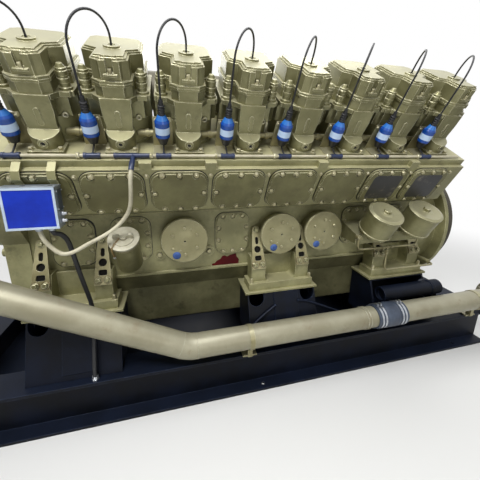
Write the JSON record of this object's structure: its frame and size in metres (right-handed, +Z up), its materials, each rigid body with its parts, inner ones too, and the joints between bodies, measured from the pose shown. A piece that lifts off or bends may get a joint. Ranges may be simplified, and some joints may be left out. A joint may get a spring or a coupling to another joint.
{
  "type": "stationary gas engine",
  "caption": "Large vee gas engine on a steel skid, with individual heads, ignition coils, side doors, relief valves, oil filters and coolant pipes.",
  "frame": {"origin": "on the floor under the middle of the skid", "axes": "+X along the crankshaft to the flywheel, +Y to the far bank, +Z up; the pictured side is -Y"},
  "size_m": [3.44, 1.4178, 1.8404],
  "materials": {
    "engine_paint": "satin metallic olive-gold paint",
    "bright_paint": "lighter satin olive-gold paint",
    "pipe_paint": "satin champagne paint, scuffed",
    "skid_paint": "dark blue-black enamel",
    "bare_metal": "bare bright steel",
    "lid_metal": "cast aluminium",
    "cast_dark": "dark machined iron",
    "coil_blue": "gloss blue plastic",
    "fitting_navy": "dark blue plastic",
    "box_blue": "blue and white paint",
    "conduit_grey": "pale braided sleeve",
    "black_rubber": "black rubber",
    "hose_rubber": "blue-grey rubber"
  },
  "bodies": {
    "root": {"skid_rail_near": "skid_paint", "skid_rail_far": "skid_paint", "skid_cross_members": "skid_paint", "skid_pedestals": "skid_paint", "mount_base_plates": "engine_paint", "mount_brackets": "engine_paint", "mount_arms": "bright_paint", "crankcase": "engine_paint", "oil_pan": "engine_paint", "cam_covers": "engine_paint", "crankcase_doors": "engine_paint", "relief_valves": "engine_paint", "cylinder_jackets": "engine_paint", "coolant_transfer_tubes": "bright_paint", "cylinder_heads_near": "engine_paint", "cylinder_heads_far": "engine_paint", "head_nuts": "bright_paint", "pushrod_housings": "engine_paint", "rocker_boxes_near": "engine_paint", "rocker_boxes_far": "engine_paint", "rocker_covers_near": "engine_paint", "rocker_covers_far": "engine_paint", "coil_brackets": "bright_paint", "ignition_coils": "coil_blue", "coil_boots": "black_rubber", "ignition_leads": "black_rubber", "wiring_conduits": "conduit_grey", "conduit_fittings": "fitting_navy", "control_box": "box_blue", "control_box_bracket": "bright_paint", "conduit_branch": "conduit_grey", "oil_filler": "engine_paint", "oil_filler_cap": "lid_metal", "oil_filters": "engine_paint", "filter_base": "engine_paint", "filter_pipes": "bright_paint", "intake_manifold": "engine_paint", "exhaust_manifold": "cast_dark", "gear_case": "engine_paint", "front_cover": "engine_paint", "water_pump": "engine_paint", "flywheel_housing": "engine_paint", "flywheel": "cast_dark", "coolant_pipes": "pipe_paint", "hose_couplings": "hose_rubber", "hose_clamps": "bare_metal", "pipe_supports": "bright_paint", "prelube_pump": "skid_paint", "control_cable": "black_rubber", "cable_gland": "bare_metal"}
  },
  "joints": []
}
